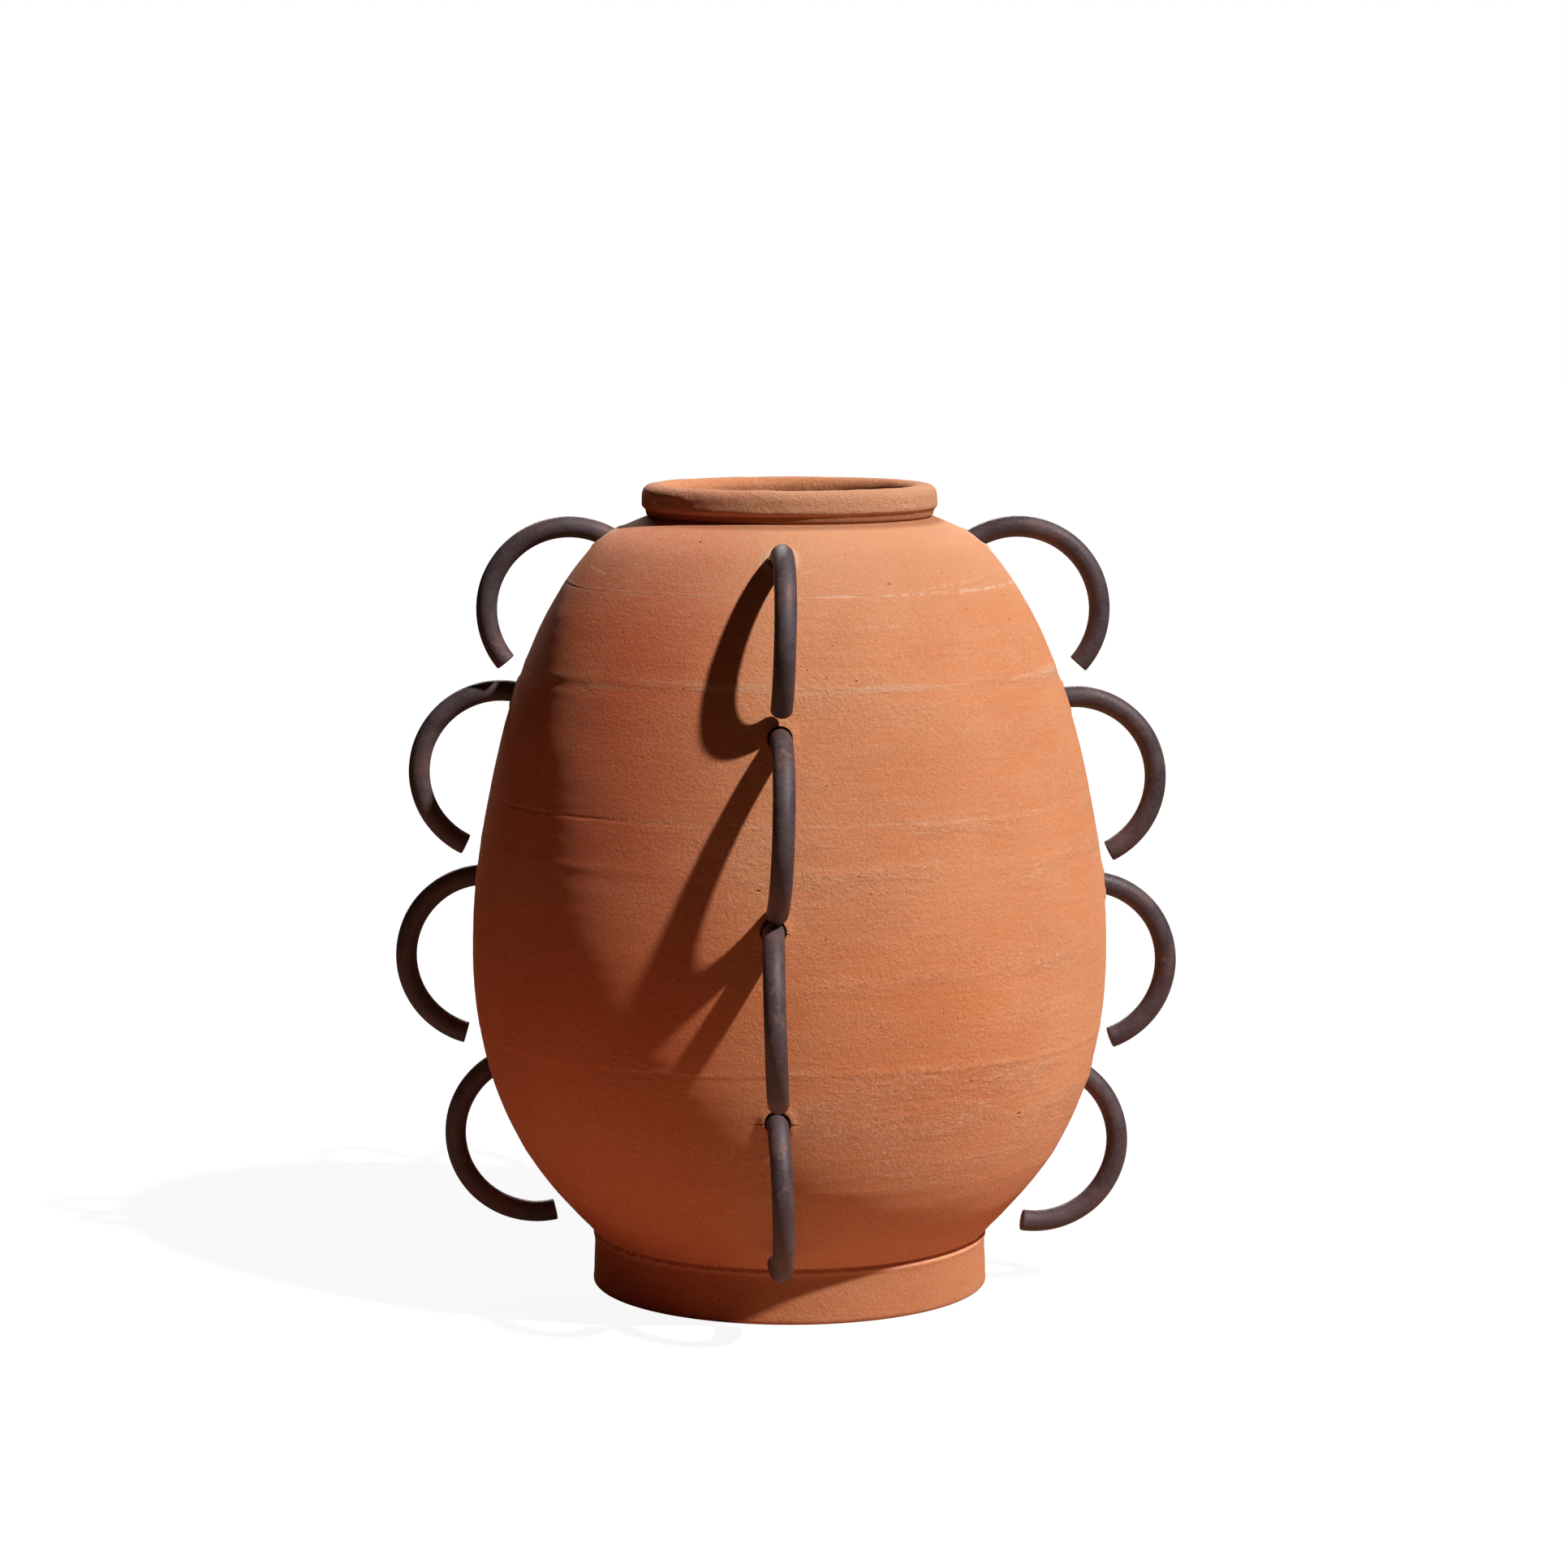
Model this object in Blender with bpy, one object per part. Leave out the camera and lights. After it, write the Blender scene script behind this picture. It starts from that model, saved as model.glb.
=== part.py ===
"""A wheel-thrown terracotta jar with four columns of half-ring iron hooks set through its wall.

Lengths are metres and +Z is up. The origin is on the jar's axis, in the plane the foot stands on,
and the front column of hooks faces -Y. An angle in a hook's ring runs from 0, straight out from
the jar, through 90, straight up.
"""

import math

import bmesh
import bpy
import numpy as np
from mathutils import Vector

# The jar: heights and radii of its outside
BELLY_POINTS = (
    (0.026, 0.0960),
    (0.055, 0.1220),
    (0.100, 0.1460),
    (0.165, 0.1566),
    (0.240, 0.1490),
    (0.300, 0.1335),
    (0.340, 0.1157),
    (0.362, 0.1006),
    (0.375, 0.0843),
    (0.381, 0.0705),
)
BELLY_STEPS = 15
WALL = 0.010
TURN_STEPS = 48

# The rolled rim: a flattened round over a set-back lower band
RIM_CENTRE_RADIUS = 0.0654
RIM_CENTRE_HEIGHT = 0.3903
RIM_HALF_WIDTH = 0.0068
RIM_HALF_HEIGHT = 0.0067
RIM_SQUARENESS = 2.6
RIM_STEPS = 8
RIM_FACE_BOTTOM = 0.3863
RIM_BAND_RADIUS = 0.0702
RIM_BAND_TOP = 0.3848
RIM_BAND_BOTTOM = 0.3814
RIM_BAND_TAPER = 0.0004
THROAT_RISE = 0.0060
THROAT_FLARE = 0.0030

# The foot
FOOT_TOP_RADIUS = 0.0970
FOOT_TOP_HEIGHT = 0.0250
FOOT_RADIUS = 0.0979
FOOT_EDGE = 0.0016
RECESS_RADIUS = 0.0800
RECESS_DEPTH = 0.0030
FLOOR_HEIGHT = 0.0140
FLOOR_RADIUS = 0.0760

# The hooks: round bar bent to a little over half a ring
RING_RADIUS = 0.0405
ROD_RADIUS = 0.0050
ROD_SIDES = 10
ROD_STEPS = 15
BAR_EDGE = 0.0006
HOOK_ARC = math.radians(190)

# Each row, top to bottom: height of the ring's centre, how far the centre lies inside the jar's
# outside, and the angle of the free end
ROWS = (
    (0.3355, 0.0086, math.radians(-41)),
    (0.2533, 0.0047, math.radians(-64)),
    (0.1616, 0.0083, math.radians(-73)),
    (0.0723, 0.0091, math.radians(-103)),
)

# Where each column stands round the jar, in degrees
COLUMNS = {
    "front": -90,
    "right": 0,
    "back": 90,
    "left": 180,
}

# The hooks were set by hand, so each one strays from its column and row. In metres: how much lower
# it sits, how much deeper its ring's centre lies, and how far along the wall its hole has moved. In
# degrees: how far it is turned about the upright, how far it leans to the side, and how much further
# round the ring its free end reaches.
STRAYS = {
    "front": (
        (0.0064, 0, -0.0009, 6.2, -1.8, 4.5),
        (0.0072, 0, 0.0006, 5.7, -1.8, 6.5),
        (0.0027, 0, -0.0017, 2.6, 1.7, 0),
        (-0.0021, 0, 0, 6.8, 2.1, 0),
    ),
    "right": (
        (-0.0002, -0.0019, 0, 4, -1, 1),
        (0.0012, 0.0019, 0.0010, 6, 1, 0),
        (0.0008, 0.0021, 0, 9, 2, -2),
        (0.0006, 0.0018, -0.0010, 8, 0, -3),
    ),
    "back": (
        (0.0040, 0.0010, 0.0010, 5, -3, 2),
        (0.0030, -0.0010, -0.0010, 3, 2, 0),
        (0.0010, 0.0005, 0.0005, 6, 0, -1),
        (0, 0, 0, 4, 1, 0),
    ),
    "left": (
        (0.0003, 0.0014, 0.0010, 6, 1, -1.5),
        (-0.0010, -0.0012, 0, 5, -2, 0),
        (-0.0008, -0.0019, -0.0010, 3, 0, 1.5),
        (-0.0005, -0.0016, 0, 5, -1, 0),
    ),
}

# The holes, and the mortar that beds each rod on the inside of the wall
HOLE_RADIUS = 0.0059
HOLE_RISE = 0.00015
HOLE_ARC = math.radians(50)
HOLE_SIDES = 12
HOLE_STEPS = 5
GAP = 0.0003
BEDDING_BORE = 0.0059
BEDDING_DROP = 0.0002
BEDDING_BASE = 0.0120
BEDDING_TOP = 0.0080
BEDDING_HEIGHT = 0.0060
BEDDING_ROOT = 0.0080
BEDDING_SIDES = 14

MERGE = 0.00001
SMOOTH_BELOW = math.radians(35)


def natural_spline(points):
    """A function that runs smoothly through the (position, value) points, and its slope."""
    at, value = (np.array(column) for column in zip(*points))
    step = np.diff(at)
    matrix = np.eye(len(at))
    bend = np.zeros(len(at))
    for i in range(1, len(at) - 1):
        matrix[i, i - 1 : i + 2] = step[i - 1], 2 * (step[i - 1] + step[i]), step[i]
        bend[i] = 6 * ((value[i + 1] - value[i]) / step[i] - (value[i] - value[i - 1]) / step[i - 1])
    second = np.linalg.solve(matrix, bend)

    def place(x):
        i = int(np.clip(np.searchsorted(at, x) - 1, 0, len(step) - 1))
        return i, (at[i + 1] - x) / step[i], (x - at[i]) / step[i]

    def curve(x):
        i, a, b = place(x)
        pull = ((a**3 - a) * second[i] + (b**3 - b) * second[i + 1]) * step[i] ** 2 / 6
        return float(a * value[i] + b * value[i + 1] + pull)

    def slope(x):
        i, a, b = place(x)
        pull = ((3 * b * b - 1) * second[i + 1] - (3 * a * a - 1) * second[i]) * step[i] / 6
        return float((value[i + 1] - value[i]) / step[i] + pull)

    return curve, slope


belly_radius, belly_slope = natural_spline(BELLY_POINTS)


def belly_heights():
    """Heights from the foot to the rim, closer together where the shoulder turns in."""
    low = BELLY_POINTS[0][0]
    high = BELLY_POINTS[-1][0]
    shares = (math.sin(math.pi / 2 * i / BELLY_STEPS) for i in range(BELLY_STEPS + 1))
    return [low + (high - low) * share for share in shares]


def inside_wall(height, depth):
    """The (radius, height) of the point this deep under the belly's outside at this height."""
    slope = belly_slope(height)
    length = math.hypot(1, slope)
    return belly_radius(height) - depth / length, height + depth * slope / length


def rim_round():
    """The rim's flattened round, from its inner side over the crest to its outer side."""
    points = []
    for i in range(RIM_STEPS + 1):
        angle = math.pi * (1 - i / RIM_STEPS)
        across = abs(math.cos(angle)) ** (2 / RIM_SQUARENESS) * RIM_HALF_WIDTH
        up = abs(math.sin(angle)) ** (2 / RIM_SQUARENESS) * RIM_HALF_HEIGHT
        radius = RIM_CENTRE_RADIUS + math.copysign(across, math.cos(angle))
        points.append((radius, RIM_CENTRE_HEIGHT + up))
    return points


def jar_outline():
    """The jar's section, from the floor up the inside, over the rim and down to the underside."""
    outside = [(belly_radius(height), height) for height in reversed(belly_heights())]
    inside = [inside_wall(height, WALL) for height in belly_heights()]
    inside = [(radius, height) for radius, height in inside if height > FLOOR_HEIGHT + WALL]
    throat = RIM_CENTRE_RADIUS - RIM_HALF_WIDTH
    throat_height = inside[-1][1] + THROAT_RISE
    neck = [(throat + THROAT_FLARE, throat_height - THROAT_FLARE), (throat, throat_height)]
    band = [
        (RIM_CENTRE_RADIUS + RIM_HALF_WIDTH, RIM_FACE_BOTTOM),
        (RIM_BAND_RADIUS, RIM_BAND_TOP),
        (RIM_BAND_RADIUS - RIM_BAND_TAPER, RIM_BAND_BOTTOM),
    ]
    foot = [
        (FOOT_TOP_RADIUS, FOOT_TOP_HEIGHT),
        (FOOT_RADIUS, FOOT_EDGE),
        (FOOT_RADIUS - FOOT_EDGE, 0),
        (RECESS_RADIUS + RECESS_DEPTH, 0),
        (RECESS_RADIUS, RECESS_DEPTH),
        (0, RECESS_DEPTH),
    ]
    floor = [(0, FLOOR_HEIGHT), (FLOOR_RADIUS, FLOOR_HEIGHT)]
    return floor + inside + neck + rim_round() + band + outside + foot


def wall_keepout_outline():
    """Everything from just inside the wall outwards, as the section of a thick ring."""
    inside = [inside_wall(height, WALL + GAP) for height in belly_heights()]
    reach = 2 * max(radius for radius, height in inside)
    top = RIM_CENTRE_HEIGHT + RIM_HALF_HEIGHT
    return inside + [(inside[-1][0], top), (reach, top), (reach, inside[0][1])]


def material(name, colour, roughness, metallic):
    made = bpy.data.materials.new(name)
    made.use_nodes = True
    shader = made.node_tree.nodes["Principled BSDF"]
    shader.inputs["Base Color"].default_value = (*colour, 1)
    shader.inputs["Roughness"].default_value = roughness
    shader.inputs["Metallic"].default_value = metallic
    made.diffuse_color = (*colour, 1)
    return made


def add_object(name, mesh, parent=None):
    obj = bpy.data.objects.new(name, mesh)
    obj.parent = parent
    bpy.context.scene.collection.objects.link(obj)
    return obj


def make_guide(obj):
    obj.hide_render = True
    obj.display_type = "WIRE"


def turned(name, outline, closed, steps, parent=None):
    """The outline, given as (radius, height) points, turned about the local Z axis."""
    edges = [(i, i + 1) for i in range(len(outline) - 1)]
    if closed:
        edges.append((len(outline) - 1, 0))
    mesh = bpy.data.meshes.new(name)
    mesh.from_pydata([(radius, 0, height) for radius, height in outline], edges, [])
    obj = add_object(name, mesh, parent)
    screw = obj.modifiers.new("turn", "SCREW")
    screw.steps = screw.render_steps = steps
    screw.use_merge_vertices = True
    screw.merge_threshold = MERGE
    screw.use_smooth_shade = True
    return obj


def cut(obj, cutter=None, cutters=None):
    boolean = obj.modifiers.new("cut", "BOOLEAN")
    boolean.operation = "DIFFERENCE"
    if cutters:
        boolean.operand_type = "COLLECTION"
        boolean.collection = cutters
    else:
        boolean.object = cutter


def bent_bar(name, ring_radius, bar_radius, sides, arc, steps):
    """A round bar bent in the XZ plane, from angle 0 upwards through the arc."""
    bm = bmesh.new()
    bmesh.ops.create_circle(bm, cap_ends=True, segments=sides, radius=bar_radius)
    bmesh.ops.translate(bm, verts=bm.verts, vec=(ring_radius, 0, 0))
    bmesh.ops.spin(
        bm,
        geom=bm.verts[:] + bm.edges[:] + bm.faces[:],
        cent=(0, 0, 0),
        axis=(0, -1, 0),
        angle=arc,
        steps=steps,
    )
    bmesh.ops.recalc_face_normals(bm, faces=bm.faces)
    ends = {edge for face in bm.faces if len(face.verts) == sides for edge in face.edges}
    bmesh.ops.bevel(bm, geom=list(ends), offset=BAR_EDGE, segments=1, affect="EDGES")
    mesh = bpy.data.meshes.new(name)
    bm.to_mesh(mesh)
    bm.free()
    mesh.shade_smooth()
    mesh.set_sharp_from_angle(angle=SMOOTH_BELOW)
    return mesh


def depth_under_outside(angle, centre):
    """How far the ring's centreline lies under the belly's outside at this angle of the ring."""
    height = centre.z + RING_RADIUS * math.sin(angle)
    inwards = belly_radius(height) - centre.x - RING_RADIUS * math.cos(angle)
    return inwards / math.hypot(1, belly_slope(height))


def angle_at_depth(depth, centre):
    """The angle at which the ring, going up and in, has come this deep into the wall."""
    low, high = math.radians(30), math.radians(150)
    while high - low > 1e-7:
        middle = (low + high) / 2
        if depth_under_outside(middle, centre) < depth:
            low = middle
        else:
            high = middle
    return low


def on_ring(angle, radius=RING_RADIUS):
    return radius * Vector((math.cos(angle), 0, math.sin(angle)))


def add_hook(column, row, half_ring, drill, drills, keepout):
    """One hook with its hole's drill and its bedding, all placed from a seat in the hole's mouth."""
    row_height, inset, tip_angle = ROWS[row]
    lower, deeper, along, turn, lean, further = STRAYS[column][row]
    height = row_height - lower
    centre = Vector((belly_radius(height) - inset - deeper, 0, height))
    mouth_angle = angle_at_depth(0, centre)
    middle_angle = angle_at_depth(WALL / 2, centre)
    inner_angle = angle_at_depth(WALL, centre)
    mouth = centre + on_ring(mouth_angle)
    label = f"{column}_{row + 1}"

    azimuth = math.radians(COLUMNS[column]) + along / mouth.x
    seat = add_object(f"seat_{label}", None)
    seat.location = mouth.x * math.cos(azimuth), mouth.x * math.sin(azimuth), mouth.z
    seat.rotation_euler = math.radians(lean), 0, azimuth + math.radians(turn)
    ring_centre = -on_ring(mouth_angle)

    hook = add_object(f"hook_{label}", half_ring, seat)
    hook.location = ring_centre
    hook.rotation_euler = 0, math.radians(further) - tip_angle, 0

    hole = add_object(f"drill_{label}", drill, seat)
    hole.location = ring_centre
    hole.rotation_euler = 0, HOLE_ARC / 2 - middle_angle, 0
    bpy.context.scene.collection.objects.unlink(hole)
    drills.objects.link(hole)
    make_guide(hole)

    collar = (
        (BEDDING_BORE, -BEDDING_ROOT),
        (BEDDING_BORE, BEDDING_HEIGHT),
        (BEDDING_TOP, BEDDING_HEIGHT),
        (BEDDING_BASE, 0),
        (BEDDING_BASE, -BEDDING_ROOT),
    )
    bedding = turned(f"bedding_{label}", collar, True, BEDDING_SIDES, seat)
    bedding.location = ring_centre + on_ring(inner_angle, RING_RADIUS - BEDDING_DROP)
    bedding.rotation_euler = 0, -inner_angle, 0
    cut(bedding, cutter=keepout)
    return bedding


def main():
    for obj in list(bpy.data.objects):
        bpy.data.objects.remove(obj)

    terracotta = material("terracotta", (0.52, 0.19, 0.075), 0.85, 0)
    iron = material("iron", (0.055, 0.040, 0.040), 0.50, 0.6)
    mortar = material("mortar", (0.42, 0.38, 0.33), 0.95, 0)

    drills = bpy.data.collections.new("drills")
    bpy.context.scene.collection.children.link(drills)
    jar = turned("pot_body", jar_outline(), False, TURN_STEPS)
    jar.data.materials.append(terracotta)
    keepout = turned("wall_keepout", wall_keepout_outline(), True, TURN_STEPS)
    make_guide(keepout)

    half_ring = bent_bar("half_ring", RING_RADIUS, ROD_RADIUS, ROD_SIDES, HOOK_ARC, ROD_STEPS)
    half_ring.materials.append(iron)
    drill_ring = RING_RADIUS + HOLE_RISE
    drill = bent_bar("drill", drill_ring, HOLE_RADIUS, HOLE_SIDES, HOLE_ARC, HOLE_STEPS)
    for column in COLUMNS:
        for row in range(len(ROWS)):
            bedding = add_hook(column, row, half_ring, drill, drills, keepout)
            bedding.data.materials.append(mortar)
    cut(jar, cutters=drills)


main()
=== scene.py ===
"""Looks for a wheel-thrown terracotta jar with four columns of half-ring iron hooks.

Lengths are metres and +Z is up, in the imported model's frame: the jar's axis is the Z axis, it stands
on z = 0, and the front column of hooks faces -Y. A bearing is an angle round the jar, from 0 at the
front, positive towards +X.
"""

import math

import bmesh
import bpy
import numpy as np
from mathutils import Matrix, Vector, noise


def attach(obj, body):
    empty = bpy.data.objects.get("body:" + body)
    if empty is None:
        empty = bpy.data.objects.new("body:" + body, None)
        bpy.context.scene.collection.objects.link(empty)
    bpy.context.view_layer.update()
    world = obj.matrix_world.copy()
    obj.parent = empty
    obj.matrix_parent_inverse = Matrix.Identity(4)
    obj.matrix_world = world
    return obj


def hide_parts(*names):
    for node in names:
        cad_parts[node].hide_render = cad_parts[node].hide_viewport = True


# The camera: where it stands, in degrees and metres, and how wide it sees
CAMERA_BEARING = 2.2
CAMERA_DISTANCE = 2.145
CAMERA_HEIGHT = 0.513
CAMERA_SIDESTEP = -0.0028
CAMERA_PITCH = 7.02
CAMERA_VIEW = 20.29
SENSOR_WIDTH = 36

# The light: a hard key high on the right, a soft one from behind, a dim warm room, and a disc under
# the jar that throws a warm light up at it. The floor glows evenly, so it looks white, and the camera
# sees a white backdrop.
KEY_BEARING = 58
KEY_RISE = 49
KEY_STRENGTH = 4.2
KEY_SPREAD = 2.0
KEY_COLOUR = (1.0, 0.975, 0.94)
BACK_BEARING = 188
BACK_RISE = 24
BACK_STRENGTH = 1.5
BACK_SPREAD = 25
ROOM_COLOUR = (1.0, 0.52, 0.32)
ROOM_STRENGTH = 0.03
BOUNCE_COLOUR = (0.490, 0.270, 0.185)
BOUNCE_REACH = 0.55
BOUNCE_DEPTH = 0.0005
BACKDROP_COLOUR = (1.0, 1.0, 1.0)
FLOOR_GLOW = 0.92
FLOOR_COLOUR = (0.11, 0.11, 0.11)
FLOOR_REACH = 14

# The jar's outside, as (height, radius), and its wall
BELLY_POINTS = (
    (0.026, 0.0960),
    (0.055, 0.1220),
    (0.100, 0.1460),
    (0.165, 0.1566),
    (0.240, 0.1490),
    (0.300, 0.1335),
    (0.340, 0.1157),
    (0.362, 0.1006),
    (0.375, 0.0843),
    (0.381, 0.0705),
)
WALL = 0.010
RIM_CENTRE_RADIUS = 0.0654
RIM_CENTRE_HEIGHT = 0.3903
RIM_HALF_WIDTH = 0.0068
RIM_HALF_HEIGHT = 0.0067
RIM_SQUARENESS = 2.6
RIM_STEPS = 26
THROAT_RADIUS = 0.0586
FLOOR_HEIGHT = 0.0140
FLOOR_RADIUS = 0.0760

# (radius, height) down the rim's outer face, its set-back band and the crease under it
RIM_FACE = (
    (0.0723, 0.3890),
    (0.0724, 0.3879),
    (0.0724, 0.3870),
    (0.0722, 0.3863),
    (0.0717, 0.3857),
    (0.0711, 0.3851),
    (0.0707, 0.3845),
    (0.0705, 0.3838),
    (0.0704, 0.3831),
    (0.0702, 0.3824),
    (0.0697, 0.3817),
    (0.0691, 0.3812),
    (0.0692, 0.3808),
    (0.0700, 0.3811),
)

# (radius, height) down the crease over the foot, the foot and its underside
FOOT = (
    (0.0959, 0.0268),
    (0.0962, 0.0263),
    (0.0967, 0.0259),
    (0.0973, 0.0256),
    (0.0977, 0.0252),
    (0.0978, 0.0246),
    (0.0976, 0.0239),
    (0.0973, 0.0231),
    (0.0972, 0.0221),
    (0.0971, 0.0195),
    (0.0972, 0.0160),
    (0.0974, 0.0120),
    (0.0975, 0.0080),
    (0.0977, 0.0045),
    (0.0979, 0.0024),
    (0.0978, 0.0013),
    (0.0972, 0.0005),
    (0.0963, 0.0),
    (0.0900, 0.0),
    (0.0845, 0.0),
    (0.0830, 0.0004),
    (0.0806, 0.0022),
    (0.0795, 0.0030),
    (0.0600, 0.0030),
    (0.0300, 0.0030),
)

# How close together the jar's rows and columns of points are, and how far from the middle of a column
# of hooks they start to spread, over what distance
ROW_STEP = 0.0020
FINE_ROW_STEP = 0.00075
COLUMN_STEP = 0.0048
FINE_COLUMN_STEP = 0.0011
FINE_REACH = 0.0125
FINE_FADE = 0.012

# Rings turned into the clay: height, how far it stands out, and its width
TURNED_LINES = (
    (0.3497, -0.00016, 0.00035),
    (0.3503, 0.00008, 0.00050),
    (0.3095, 0.00024, 0.0026),
    (0.3062, -0.00018, 0.0024),
    (0.2470, -0.00016, 0.0007),
    (0.2240, 0.00018, 0.0020),
    (0.1312, 0.00020, 0.0013),
    (0.1290, -0.00012, 0.0014),
    (0.0700, 0.00020, 0.0030),
    (0.0330, -0.00025, 0.0022),
)

# The hooks: rod and ring, and for each row, top to bottom, how wide its hole is drilled and how far
# the hole sits outside the rod's own ring, which leaves an open crescent over the rod
ROD_RADIUS = 0.0052
RING_RADIUS = 0.0405
ROD_SIDES = 28
ROD_STEPS = 96
ROD_EDGE = 0.0006
ROD_UNEVEN = 0.00012
HOLES = (
    (0.00565, -0.00005),
    (0.00600, 0.00050),
    (0.00615, 0.00065),
    (0.00625, 0.00075),
)
HOLE_SIDES = 32
HOLE_STEPS = 14
HOLE_REACH = math.radians(19)
HOLE_RAGGED = 0.00018
LIP_HEIGHT = 0.0009
LIP_WIDTH = 0.0019

# Cracks beside the holes: column, row, side (-1 left, 1 right), length and drop at its end
CRACKS = (
    ("front", 3, 1, 0.0030, -0.0012),
    ("front", 4, -1, 0.0072, 0.0003),
    ("front", 4, 1, 0.0036, -0.0002),
    ("right", 3, -1, 0.0040, 0.0006),
    ("left", 2, 1, 0.0034, -0.0008),
    ("back", 4, 1, 0.0050, 0.0004),
)
CRACK_WIDTH = 0.0007
CRACK_DEPTH = 0.0016
CRACK_STEPS = 6
CRACK_START = 0.0008
CRACK_ZIGZAG = 0.00025

# Pits where a grain of lime or grit fell out: bearing in degrees, height, radius
PITS = (
    (-27.0, 0.3733, 0.0008),
    (-3.3, 0.2179, 0.0011),
    (9.3, 0.1935, 0.0006),
    (16.3, 0.2159, 0.0006),
    (49.7, 0.1035, 0.0014),
    (28.0, 0.3549, 0.0009),
    (49.3, 0.3419, 0.0006),
    (64.4, 0.3351, 0.0007),
    (11.4, 0.3281, 0.0007),
    (5.7, 0.3175, 0.0006),
    (15.9, 0.3123, 0.0006),
    (-64.0, 0.2010, 0.0009),
    (104.0, 0.2600, 0.0010),
    (137.0, 0.1480, 0.0012),
    (161.0, 0.3020, 0.0008),
    (-118.0, 0.2350, 0.0011),
    (-146.0, 0.1210, 0.0009),
    (-171.0, 0.3400, 0.0007),
)

# Pale scratches on the clay: (bearing in degrees, height) at each end, and how wide and how strong
SCRATCHES = (
    ((4.6, 0.3598), (9.7, 0.3627), 0.00040, 0.8),
    ((-66.0, 0.3590), (-55.0, 0.3570), 0.00060, 0.7),
    ((38.0, 0.3520), (58.0, 0.3538), 0.00028, 0.8),
    ((43.0, 0.3533), (66.0, 0.3553), 0.00024, 0.6),
    ((50.0, 0.3511), (72.0, 0.3528), 0.00024, 0.6),
    ((55.0, 0.3546), (80.0, 0.3562), 0.00022, 0.5),
    ((20.0, 0.3362), (31.0, 0.3356), 0.00035, 0.5),
    ((14.5, 0.2249), (36.0, 0.2206), 0.00035, 0.5),
    ((-32.0, 0.1309), (-10.0, 0.1312), 0.00045, 0.7),
    ((-8.0, 0.0850), (6.0, 0.0838), 0.00030, 0.3),
    ((121.0, 0.2800), (139.0, 0.2822), 0.00035, 0.6),
    ((-140.0, 0.1900), (-122.0, 0.1888), 0.00035, 0.6),
)
UNROLL_RADIUS = 0.14

# Heights of the pale lines on the clay: two incised ones, the ring of dust, and the painted highlight
# along the ridge over the foot
INCISED_LINE = 0.3500
SECOND_LINE = 0.2474
DUST_RING = 0.3105
FOOT_RIDGE = 0.0255

# How far apart the specks of dark grit are
GRIT_SPACING = 0.0075

# How salty the clay is, as (share of SALT_HEIGHT, strength) up the jar
SALT_HEIGHT = 0.4
SALT_STOPS = (
    (0.0, 0.10),
    (0.065, 0.12),
    (0.120, 0.16),
    (0.190, 0.55),
    (0.300, 0.75),
    (0.325, 0.85),
    (0.333, 1.0),
    (0.345, 0.25),
    (0.430, 0.30),
    (0.445, 0.62),
    (0.460, 0.28),
    (0.545, 0.32),
    (0.560, 0.85),
    (0.585, 0.60),
    (0.618, 0.90),
    (0.628, 0.35),
    (0.755, 0.30),
    (0.772, 0.95),
    (0.782, 0.40),
    (0.830, 0.25),
    (0.880, 0.22),
    (0.960, 0.45),
    (1.0, 0.55),
)

# The clay's colours
CLAY_DEEP = (0.790, 0.322, 0.144)
CLAY_LIGHT = (0.845, 0.372, 0.180)
STREAK_PALE = (0.800, 0.425, 0.240)
STREAK_DARK = (0.640, 0.235, 0.095)
SAND_PALE = (0.910, 0.570, 0.375)
SAND_DARK = (0.480, 0.170, 0.066)
SALT_BLOOM = (0.880, 0.560, 0.370)
SALT_FLAKES = (0.940, 0.660, 0.480)
DUST_HIGH = (0.720, 0.430, 0.280)
DUST_PALE = (0.850, 0.560, 0.380)
DUST_MOUTH = (0.880, 0.600, 0.430)
SCRATCH_AND_HIGHLIGHT_PALE = (0.88, 0.62, 0.45)
GRIT_DARK = (0.16, 0.045, 0.020)
INSIDE_BROWN = (0.34, 0.110, 0.050)

# What the clay's colour is multiplied by in some places; the left, under-rim and foot tints are painted
# shade
WAIST_TINT = (1.0, 0.90, 0.81)
LEFT_SHADE_TINT = (0.93, 0.55, 0.52)
UNDER_RIM_SHADE_TINT = (0.60, 0.52, 0.48)
FOOT_SHADE_TINT = (0.68, 0.64, 0.61)

# The rods' colours
IRON_DARK = (0.074, 0.050, 0.058)
IRON_LIGHT = (0.108, 0.078, 0.088)
IRON_FLECK = (0.170, 0.132, 0.140)
IRON_PIT = (0.045, 0.031, 0.034)
IRON_REDDISH = (0.190, 0.098, 0.085)
IRON_RUST = (0.30, 0.145, 0.110)

# The mortar's colours
MORTAR_DARK = (0.30, 0.26, 0.22)
MORTAR_LIGHT = (0.50, 0.455, 0.39)
MORTAR_GRAIN = (0.62, 0.57, 0.50)

# Edges sharper than this, in degrees, are shaded as creases
ROD_CREASE = 35
JAR_CREASE = 40

# The parts of the jar's section, in order
INSIDE_PART, RIM_PART, BELLY_PART, FOOT_PART = range(4)


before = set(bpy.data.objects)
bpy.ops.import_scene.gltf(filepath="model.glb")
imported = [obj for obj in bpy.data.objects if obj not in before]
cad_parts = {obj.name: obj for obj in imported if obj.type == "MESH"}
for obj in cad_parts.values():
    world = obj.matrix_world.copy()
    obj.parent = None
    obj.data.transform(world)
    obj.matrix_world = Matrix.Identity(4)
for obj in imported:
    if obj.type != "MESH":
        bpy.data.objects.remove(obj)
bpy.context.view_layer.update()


# ---- shapes ----


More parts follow.
